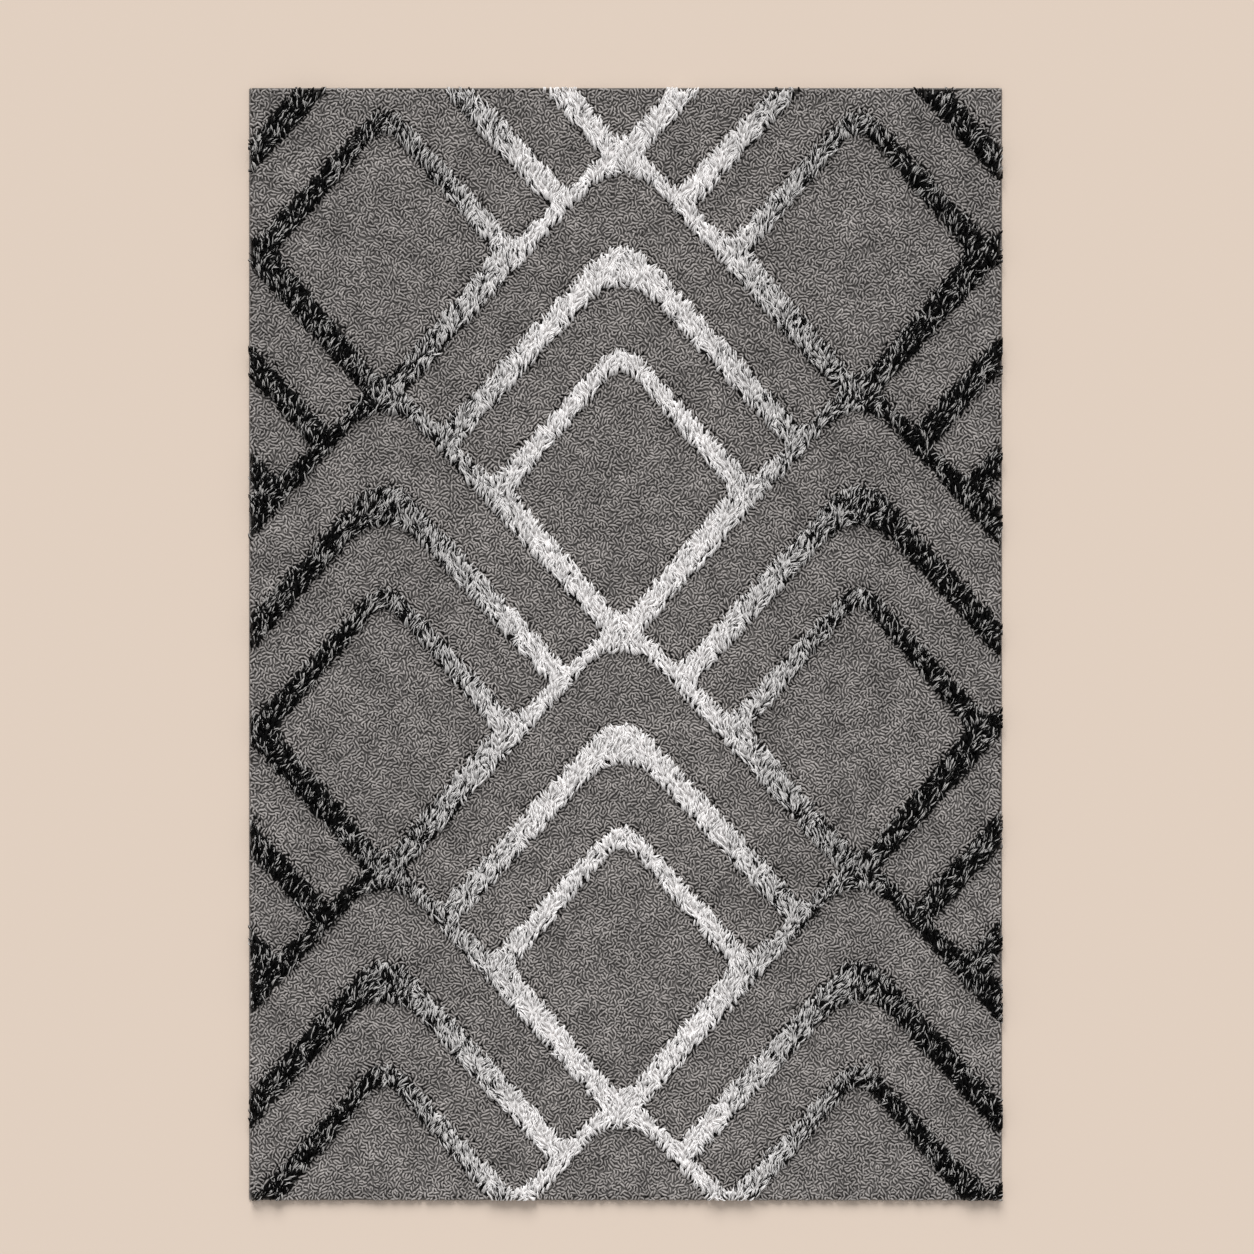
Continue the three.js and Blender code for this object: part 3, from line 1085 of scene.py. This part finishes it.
@dataclass
class RaisedPile:
    """The raised bands: long strands that lean to the head of the rug and splay over a band's upper edge.

    They are rooted from a little below a band's lower edge, and their tips may pass its upper edge a little.
    """

    pattern: Pattern
    plan: Plan
    spacing: tuple[float, float] = (6.1 * MM, 6.7 * MM)
    jitter: float = 0.45
    strands: int = 3
    alone: float = 0.6
    radius: float = 1.4 * MM
    lean: float = 18 * MM
    fringe: float = 6.5 * MM
    fringe_range: tuple[float, float] = (0.4, 1.0)
    under: float = 6.5 * MM
    tuft: float = 2.4 * MM
    tip: float = 0.9 * MM
    length_range: tuple[float, float] = (0.8, 1.2)
    height_range: tuple[float, float] = (0.8, 1.0)
    follow: float = 0.3
    stray: float = 0.2
    swirls: tuple[float, float] = (0.4, 24 * MM)
    splay: float = 1.1
    splay_depth: float = 16 * MM
    drift: float = 0.55
    drift_from: tuple[float, float] = (250 * MM, 550 * MM)
    splay_facing: float = -0.1
    neat: float = 4 * MM
    neat_facing: float = -0.2
    bow: float = 1.2 * MM
    along: tuple[float, ...] = (0, 0.04, 0.3, 0.66, 1.0)
    rise: tuple[float, ...] = (0, 0.55, 0.86, 1.0, 0.97)
    finish: PileFinish = PileFinish("raised pile", tone(253, 250, 249), tone(9, 8, 8), roughness=0.5,
                                    sheen=0.0, spread=0.08, root=0.08, patches=0.6, patch_scale=36.0,
                                    far_light=tone(214, 211, 208), far_root_shade=0.6)
    yarn: Yarn = Yarn(taper=(0.9, 1.0, 1.0, 0.8, 0.15), corners=3)
    bed: Bed = Bed(pitch=6 * MM, top=15 * MM, inset=4 * MM, painted_lit_share=0.6)

    def build(self) -> list[bpy.types.Object]:
        """Makes the raised pile.

        Returns:
            One object for each band of the pattern, and the bed that fills them.
        """
        rng = np.random.default_rng(SEED + 1)
        roots = scattered(self.pattern.outline, self.spacing, self.jitter, rng)
        under = np.array([0, self.under])
        roots = roots[self.plan.at(roots + under) > 0]
        labels = self.plan.at(roots + under)
        away, outwards = self.plan.border(roots + under)
        heading = self._headings(roots, away, outwards, rng)
        roots = self._row_up(roots, away, outwards)
        length = self.lean * rng.uniform(*self.length_range, len(roots))
        past = self.fringe * rng.uniform(*self.fringe_range, len(roots))
        tips = roots + heading * (length - past)[:, None]
        kept = (self.plan.at(tips) > 0) | (np.abs(tips) > np.array(self.pattern.outline)).any(1)
        roots, heading, length, labels = roots[kept], heading[kept], length[kept], labels[kept]
        shades = rng.uniform(0, 1, (len(roots), 2))
        many = np.repeat(np.arange(len(roots)), self.strands)
        spines, radius = self._spines(roots[many], heading[many], length[many], rng)
        marks = shades[many]
        marks[:, 0] = (marks[:, 0] + rng.uniform(0, 1, len(many))) / 2
        alone = rng.uniform(0, 1, len(many)) < self.alone
        marks[alone, 1] = rng.uniform(0, 1, alone.sum())
        labels = labels[many]
        look = self.finish.material(self.pattern.axis)
        made = []
        for number, name in enumerate(self.plan.names[1:], 1):
            own = labels == number
            piece = self.yarn.build(f"{name}_pile", spines[own], radius[own], marks[own],
                                    self.pattern.outline)
            dress(piece, look, name)
            made.append(piece)
        bed = self.bed.build("raised_pile_bed", self.plan, self.plan.labels > 0, rng)
        dress(bed, look)
        return [*made, bed]

    def _headings(self, roots: np.ndarray, away: np.ndarray, outwards: np.ndarray,
                  rng: np.random.Generator) -> np.ndarray:
        """Finds the direction in which each yarn leans.

        Args:
            roots: Where the yarns stand.
            away: How far each stands from the edge of its band.
            outwards: The direction to that edge.
            rng: The source of random numbers.

        Returns:
            The directions in plan, at length one.
        """
        band = np.stack([outwards[:, 1], -outwards[:, 0]], 1)
        band *= np.where(band[:, 1] < 0, -1, 1)[:, None]
        splay = self.splay * np.exp(-away / self.splay_depth) * (outwards[:, 1] > self.splay_facing)
        amount, size = self.swirls
        turn = amount * swirl(roots, size, rng) + rng.normal(0, self.stray, len(roots))
        near, far = self.drift_from
        drift = self.drift * ((np.abs(roots[:, :1] - self.pattern.axis) - near) / (far - near)).clip(0, 1)
        heading = np.column_stack([drift, np.ones(len(roots))]) + self.follow * band
        heading = unit(heading + splay[:, None] * outwards)
        return np.stack([heading[:, 0] * np.cos(turn) - heading[:, 1] * np.sin(turn),
                         heading[:, 0] * np.sin(turn) + heading[:, 1] * np.cos(turn)], 1)

    def _row_up(self, roots: np.ndarray, away: np.ndarray, outwards: np.ndarray) -> np.ndarray:
        """Brings the roots by a band's lower edge to it, so that the edge is neat.

        Args:
            roots: Where the yarns stand.
            away: How far each stands from the edge of its band.
            outwards: The direction to that edge.

        Returns:
            Where the yarns stand now.
        """
        lower = (outwards[:, 1] < self.neat_facing) & (away < self.neat)
        return roots + (lower * away)[:, None] * outwards

    def _spines(self, roots: np.ndarray, heading: np.ndarray, length: np.ndarray,
                rng: np.random.Generator) -> tuple[np.ndarray, np.ndarray]:
        """Shapes the strands of each yarn.

        Args:
            roots: Where the strands stand.
            heading: The direction of each.
            length: How far each leans over.
            rng: The source of random numbers.

        Returns:
            The points that each strand follows, and its largest radius.
        """
        count = len(roots)
        side = np.stack([-heading[:, 1], heading[:, 0]], 1)
        across = rng.uniform(-1, 1, (2, count))
        bow = rng.normal(0, self.bow, count)
        radius = self.radius * rng.uniform(*self.length_range, count)
        height = (self.pattern.high - self.pattern.floor - radius) * rng.uniform(*self.height_range, count)
        share = np.array(self.along)
        spines = np.empty((count, len(share), 3))
        spines[:, :, :2] = roots[:, None] + share[:, None] * (length[:, None] * heading)[:, None]
        sway = (1 - share) * self.tuft * across[0][:, None] + share * self.tip * across[1][:, None]
        sway += np.sin(np.pi * share) * bow[:, None]
        spines[:, :, :2] += sway[:, :, None] * side[:, None]
        spines[:, :, 2] = self.pattern.floor + np.array(self.rise) * height[:, None]
        return spines, radius


# ---------------------------------------------------------------- the base and the edges


def closed_strip(name: str, profile: np.ndarray, along: np.ndarray, waves: tuple[float, float],
                 rng: np.random.Generator) -> bpy.types.Object:
    """Makes a closed strip that has one section all along the X axis.

    Args:
        name: The object's name.
        profile: The section, as places along Y and Z, in order round its outline.
        along: Where along X the section is repeated.
        waves: How far the sections stray along Y, and the length over which they do.
        rng: The source of random numbers.

    Returns:
        The object.
    """
    points = np.empty((len(along), len(profile), 3))
    points[:, :, 0] = along[:, None]
    points[:, :, 1:] = profile
    stray, length = waves
    points[:, :, 1] += stray * swirl(np.column_stack([along, along * 0]), length, rng)[:, None]
    return mesh_from(name, points.reshape(-1, 3), tube_faces(1, len(along), len(profile)))


@dataclass
class Cloth:
    """A woven cloth of the rug's base: a thin closed sheet that ripples a little."""

    node: str
    name: str
    slot: str
    finish: ClothFinish
    rests_on: tuple[str, ...] = ()
    lift: float = 0.0
    pitch: float = 15 * MM
    ripple: float = 0.1 * MM
    ripple_size: float = 45 * MM

    def build(self) -> bpy.types.Object:
        """Makes the cloth in the space of its node.

        Returns:
            The cloth.
        """
        rng = np.random.default_rng(SEED + 2)
        low, high = corners_of(self.node)
        x, y = (np.linspace(low[i], high[i], 2 + int((high[i] - low[i]) / self.pitch)) for i in range(2))
        grid = np.stack(np.meshgrid(x, y, indexing="ij"), -1)
        wave = (1 + np.tanh(swirl(grid.reshape(-1, 2), self.ripple_size, rng))) / 2
        wave = self.ripple * wave.reshape(grid.shape[:2])
        rows, columns = grid.shape[:2]
        number = np.arange(rows * columns).reshape(rows, columns)
        tops = np.stack([number[:-1, :-1], number[1:, :-1], number[1:, 1:], number[:-1, 1:]], -1)
        tops = tops.reshape(-1, 4)
        rim = np.concatenate([number[:-1, 0], number[-1, :-1], number[:0:-1, -1], number[0, :0:-1]])
        walls = np.stack([rim, np.roll(rim, -1), np.roll(rim, -1) + number.size, rim + number.size], 1)
        faces = np.concatenate([tops, tops[:, ::-1] + number.size, walls[:, ::-1]])
        top = np.concatenate([grid, (high[2] - self.ripple + wave)[..., None]], -1).reshape(-1, 3)
        bottom = np.concatenate([grid, (low[2] + self.lift + wave)[..., None]], -1).reshape(-1, 3)
        made = mesh_from(self.name, np.concatenate([top, bottom]), [faces], smooth=False)
        dress(made, self.finish.material(), self.node)
        return made

    def declare(self, piece: bpy.types.Object, with_pieces: list[bpy.types.Object]) -> None:
        """Args:
            piece: The cloth. Not used.
            with_pieces: The pieces that are fixed to it. Not used.
        """
        low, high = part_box(self.node)


@dataclass
class Scrim:
    """The open net of flat tapes on the underside, which holds the backing flat."""

    pitch: float = 5 * MM
    width: float = 2.2 * MM
    thickness: float = 0.28 * MM
    inset: float = 3 * MM
    stray: float = 0.15 * MM
    width_range: tuple[float, float] = (0.85, 1.15)
    finish: ClothFinish = ClothFinish("scrim", tone(178, 164, 140), tone(214, 202, 180), threads=900.0,
                                      relief=0.06 * MM)

    def build(self) -> bpy.types.Object:
        """Makes the net, which has one layer of tapes along the rug and one of tapes across it.

        Returns:
            The net.
        """
        rng = np.random.default_rng(SEED + 3)
        low, high = corners_of("secondary_backing")
        blocks = [self._tapes(low, high, axis, rng) for axis in (0, 1)]
        corners = np.concatenate(blocks)
        faces = np.array([(0, 1, 3, 2), (4, 6, 7, 5), (0, 4, 5, 1),
                          (2, 3, 7, 6), (0, 2, 6, 4), (1, 5, 7, 3)])
        quads = (np.arange(len(corners))[:, None, None] * 8 + faces).reshape(-1, 4)
        made = mesh_from("scrim", corners.reshape(-1, 3), [quads], smooth=False)
        dress(made, self.finish.material())
        return made

    def _tapes(self, low: np.ndarray, high: np.ndarray, axis: int, rng: np.random.Generator) -> np.ndarray:
        """Makes the tapes that are spaced along one axis.

        Args:
            low: The lowest corner of the backing.
            high: Its highest corner.
            axis: The axis that the tapes are spaced along.
            rng: The source of random numbers.

        Returns:
            Eight corners for each tape.
        """
        middles = np.arange(low[axis] + self.inset, high[axis] - self.inset, self.pitch)
        middles = middles + rng.normal(0, self.stray, len(middles))
        width = self.width * rng.uniform(*self.width_range, len(middles))
        corners = np.empty((len(middles), 2, 2, 2, 3))
        for side in (0, 1):
            corners[:, side, :, :, axis] = (middles + (side - 0.5) * width)[:, None, None]
            corners[:, :, side, :, 1 - axis] = (low, high)[side][1 - axis] + (1 - 2 * side) * self.inset / 2
            corners[:, :, :, side, 2] = low[2] + (axis + side) * self.thickness
        if axis:
            corners = corners[:, ::-1]
        return corners.reshape(-1, 8, 3)


@dataclass
class Serging:
    """The yarn that is wound over an edge cord, turn beside turn, along one side of the rug."""

    node: str
    pitch: float = 3.0 * MM
    slant: float = 1.2 * MM
    stray: float = 0.1 * MM
    overlap: float = 0.56
    rings: int = 12
    corners: int = 6
    finish: PileFinish = PileFinish("serging yarn", tone(120, 115, 112), roughness=0.7, spread=0.25,
                                    root=0.55)

    def build(self, axis: float) -> bpy.types.Object:
        """Makes the wound yarn.

        Args:
            axis: Where the pattern's mirror line lies across the rug, for the finish.

        Returns:
            The object.
        """
        rng = np.random.default_rng(SEED + 4)
        low, high = corners_of(self.node)
        radius = self.pitch * self.overlap
        core = (high[2] - low[2]) / 2 - radius
        heart = (low + high) / 2
        starts = np.arange(low[1] + radius * 1.5, high[1] - radius * 1.5, self.pitch)
        turn = np.linspace(0, 2 * math.pi, self.rings, endpoint=False)
        spines = np.empty((len(starts), self.rings, 3))
        spines[:, :, 0] = heart[0] + core * np.cos(turn)
        spines[:, :, 1] = starts[:, None] + self.slant * np.sin(turn / 2)
        spines[:, :, 1] += rng.normal(0, self.stray, (len(starts), 1))
        spines[:, :, 2] = heart[2] + core * np.sin(turn)
        made = self._tori(spines, radius, rng)
        dress(made, self.finish.material(axis), self.node)
        return made

    def _tori(self, spines: np.ndarray, radius: float, rng: np.random.Generator) -> bpy.types.Object:
        """Makes closed rings of yarn round the cord.

        Args:
            spines: The points that each ring follows.
            radius: The yarn's radius.
            rng: The source of random numbers.

        Returns:
            One object of all the rings.
        """
        count, rings = spines.shape[:2]
        along = unit(np.roll(spines, -1, 1) - np.roll(spines, 1, 1))
        out = unit(spines - spines.mean(1, keepdims=True))
        side = np.cross(along, out)
        corners = self.corners
        turn = 2 * math.pi * np.arange(corners) / corners
        section = np.cos(turn)[:, None] * out[:, :, None] + np.sin(turn)[:, None] * side[:, :, None]
        points = spines[:, :, None] + radius * section
        k, j = np.meshgrid(np.arange(rings), np.arange(corners), indexing="ij")
        k2, j2 = (k + 1) % rings, (j + 1) % corners
        quads = np.stack([k * corners + j, k * corners + j2, k2 * corners + j2, k2 * corners + j], -1)
        faces = np.arange(count)[:, None, None] * rings * corners + quads.reshape(-1, 4)
        made = mesh_from(f"{self.node}_yarn", points.reshape(-1, 3), [faces.reshape(-1, 4)])
        values = np.empty((count, rings, corners, 3))
        values[..., 0] = rng.uniform(0, 1, (count, 1, 1))
        # Painted shade: each turn is painted darker on the side that faces the cord.
        values[..., 1] = (1 + np.cos(turn)) / 2
        values[..., 2] = 1
        store_tufts(made.data, values)
        return made


@dataclass
class HemTape:
    """The woven tape that is folded round one end of the rug, and the two rows of stitches that hold it."""

    node: str
    thickness: float = 0.9 * MM
    over: float = 5 * MM
    bend: float = 1.3 * MM
    bend_steps: int = 4
    sections: int = 120
    waves: tuple[float, float] = (0.0, 60 * MM)
    stitch_pitch: float = 7 * MM
    stitch: tuple[float, float, float] = (4.6 * MM, 0.55 * MM, 0.35 * MM)
    stitch_rows: tuple[float, float] = (4 * MM, 9 * MM)
    stitch_ends: float = 8 * MM
    stitch_stray: float = 0.1 * MM
    stitch_bluntness: float = 0.12
    stitch_rings: int = 5
    stitch_corners: int = 6
    finish: ClothFinish = ClothFinish("hem tape", tone(96, 92, 89), tone(138, 133, 129), threads=700.0)
    thread: ClothFinish = ClothFinish("hem thread", tone(150, 145, 140), tone(196, 190, 184), threads=2600.0,
                                      relief=0.05 * MM)

    def build(self) -> list[bpy.types.Object]:
        """Makes the tape and its stitches.

        Returns:
            The tape, and the stitches as one object.
        """
        rng = np.random.default_rng(SEED + 5)
        low, high = corners_of(self.node)
        sign = 1 if high[1] > 0 else -1
        edge, inner = (high[1], low[1]) if sign > 0 else (low[1], high[1])
        along = np.linspace(low[0], high[0], self.sections)
        profile = self._profile(edge, inner, sign, low[2], high[2])
        tape = closed_strip(f"{self.node}_cloth", profile, along, self.waves, rng)
        dress(tape, self.finish.material(), self.node)
        return [tape, self._stitches(low, high, inner, sign, rng)]

    def _profile(self, edge: float, inner: float, sign: int, low: float, high: float) -> np.ndarray:
        """Makes the section of the folded tape.

        Args:
            edge: Where the end of the rug lies.
            inner: Where the tape ends under the rug.
            sign: 1 at the rug's head and -1 at its foot.
            low: How low the stitches reach.
            high: How high the tape reaches.

        Returns:
            Places along Y and Z, round the tape's outer side and back along its inner side.
        """
        low = low + self.stitch[2]
        outer = [(inner, low)]
        inside = [(inner, low + self.thickness)]
        near = edge - sign * self.bend
        for corner, start in (((near, low + self.bend), -90), ((near, high - self.bend), 0)):
            for step in range(self.bend_steps + 1):
                turn = math.radians(start + 90 * step / self.bend_steps)
                place = np.array([sign * math.cos(turn), math.sin(turn)])
                outer.append(tuple(np.array(corner) + self.bend * place))
                inside.append(tuple(np.array(corner) + (self.bend - self.thickness) * place))
        outer.append((edge - sign * self.over, high))
        inside.append((edge - sign * self.over, high - self.thickness))
        profile = np.array(outer + inside[::-1])
        return profile if sign > 0 else profile[::-1]

    def _stitches(self, low: np.ndarray, high: np.ndarray, inner: float, sign: int,
                  rng: np.random.Generator) -> bpy.types.Object:
        """Makes two rows of stitches in the tape's underside.

        Args:
            low: The lowest corner of the tape's box.
            high: Its highest corner.
            inner: Where the tape ends under the rug.
            sign: 1 at the rug's head and -1 at its foot.
            rng: The source of random numbers.

        Returns:
            The stitches, as one object.
        """
        starts = np.arange(low[0] + self.stitch_ends, high[0] - self.stitch_ends, self.stitch_pitch)
        length, half, rise = self.stitch
        rings, corners = self.stitch_rings, self.stitch_corners
        share = np.linspace(-1, 1, rings)
        body = np.sqrt(np.maximum(1 - share ** 4, self.stitch_bluntness))
        turn = 2 * math.pi * np.arange(corners) / corners
        shape = np.empty((rings, corners, 3))
        shape[:, :, 0] = share[:, None] * length / 2
        shape[:, :, 1] = body[:, None] * half * np.cos(turn)
        shape[:, :, 2] = body[:, None] * rise * np.sin(turn)
        rows = [inner + sign * row for row in self.stitch_rows]
        places = np.array([(x + rng.normal(0, self.stitch_stray), y, low[2] + rise)
                           for y in rows for x in starts])
        points = places[:, None, None] + shape
        faces = tube_faces(len(places), rings, corners)
        made = mesh_from(f"{self.node}_stitches", points.reshape(-1, 3), faces)
        dress(made, self.thread.material())
        return made


@dataclass
class Base:
    """What the pile stands on: ground cloth, latex, backing and net, with the edges that close them."""

    # The ground cloth's tones are kept dark, as painted shade for where it shows between the yarns.
    ground: Cloth = field(default_factory=lambda: Cloth(
        "ground_cloth", "ground_cloth_cloth", "ground_cloth", rests_on=("latex_coat",),
        finish=ClothFinish("ground cloth", tone(38, 36, 35), tone(70, 67, 65), threads=450.0)))
    backing: Cloth = field(default_factory=lambda: Cloth(
        "secondary_backing", "secondary_backing_cloth", "secondary_backing", lift=0.45 * MM, ripple=0.05 * MM,
        finish=ClothFinish("backing cloth", tone(150, 136, 112), tone(196, 183, 158), threads=520.0,
                           soil=0.15)))
    latex: ClothFinish = ClothFinish("latex", tone(205, 196, 176), tone(226, 218, 200), threads=60.0)
    cord: ClothFinish = ClothFinish("edge cord", tone(150, 146, 140), tone(205, 200, 192), threads=900.0)

    def build(self, axis: float) -> list[bpy.types.Object]:
        """Makes the pieces of the base, and gives the solids that stay their finishes.

        Args:
            axis: Where the pattern's mirror line lies across the rug.

        Returns:
            The new pieces.
        """
        ground, backing, scrim = self.ground.build(), self.backing.build(), Scrim().build()
        self.ground.declare(ground, [])
        self.backing.declare(backing, [scrim])
        tapes = [piece for end in ("head", "foot") for piece in HemTape(f"hem_tape_{end}").build()]
        sides = [Serging(f"serging_{side}").build(axis) for side in ("left", "right")]
        for name, finish in (("latex_coat", self.latex), ("edge_cord_left", self.cord),
                             ("edge_cord_right", self.cord)):
            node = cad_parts[name]
            node.data.materials.clear()
            node.data.materials.append(finish.material())
        return [ground, backing, scrim, *tapes, *sides]


# ---------------------------------------------------------------- the studio


@dataclass
class Studio:
    """A plain pale floor, soft light from beyond the head of the rug, and a camera straight above."""

    floor_size: float = 30.0
    floor_colour: Colour = tone(218, 201, 186)
    floor_roughness: float = 0.9
    floor_shine: float = 0.1
    sky: Colour = (1.0, 1.0, 1.0, 1.0)
    sky_strength: float = 0.5
    sun_strength: float = 3.08
    sun_height: float = 36.0
    sun_width: float = 35.0
    sun_turn: float = 3.0
    lens: float = 120.0
    sensor: float = 36.0
    view_width: float = 2.665
    view_end: float = 100.0
    aim: tuple[float, float] = (3.2 * MM, 36.0 * MM)

    def build(self) -> None:
        """Makes the floor, the light and the camera."""
        half = self.floor_size / 2
        corners = np.array([(-half, -half, 0), (half, -half, 0), (half, half, 0), (-half, half, 0)])
        floor = mesh_from("floor", corners, [np.array([[0, 1, 2, 3]])], smooth=False)
        look = bpy.data.materials.new("floor")
        look.use_nodes = True
        shader = look.node_tree.nodes["Principled BSDF"]
        shader.inputs["Base Color"].default_value = self.floor_colour
        shader.inputs["Roughness"].default_value = self.floor_roughness
        shader.inputs["Specular IOR Level"].default_value = self.floor_shine
        floor.data.materials.append(look)
        floor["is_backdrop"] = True
        world = bpy.data.worlds.new("studio")
        world.use_nodes = True
        world.node_tree.nodes["Background"].inputs[0].default_value = self.sky
        world.node_tree.nodes["Background"].inputs[1].default_value = self.sky_strength
        bpy.context.scene.world = world
        sun = bpy.data.lights.new("window", "SUN")
        sun.energy = self.sun_strength
        sun.angle = math.radians(self.sun_width)
        lamp = bpy.data.objects.new("window", sun)
        lamp.rotation_euler = (-math.radians(90 - self.sun_height), 0, math.radians(self.sun_turn))
        bpy.context.collection.objects.link(lamp)
        self._camera()
        bpy.context.scene.view_settings.view_transform = "Standard"

    def _camera(self) -> None:
        """Makes the camera, as high as its view needs to be as wide as it should."""
        data = bpy.data.cameras.new("camera")
        data.lens = self.lens
        data.sensor_width = self.sensor
        camera = bpy.data.objects.new("camera", data)
        camera.location = (*self.aim, self.view_width * self.lens / data.sensor_width)
        data.clip_end = self.view_end
        bpy.context.collection.objects.link(camera)
        bpy.context.scene.camera = camera


def main() -> None:
    """Builds the rug and its studio."""
    logging.basicConfig(level=logging.INFO, format="%(message)s")
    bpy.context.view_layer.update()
    build_yarn_shade()
    build_weave()
    pattern = Pattern.from_frame()
    plan = Plan(pattern.outline)
    made = [*Base().build(pattern.axis), *LowPile(pattern, plan).build(), *RaisedPile(pattern, plan).build()]
    for piece in made:
        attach(piece, BODY)
        log.info("%s: %d faces", piece.name, len(piece.data.polygons))
    Studio().build()


if __name__ == "__main__":
    main()
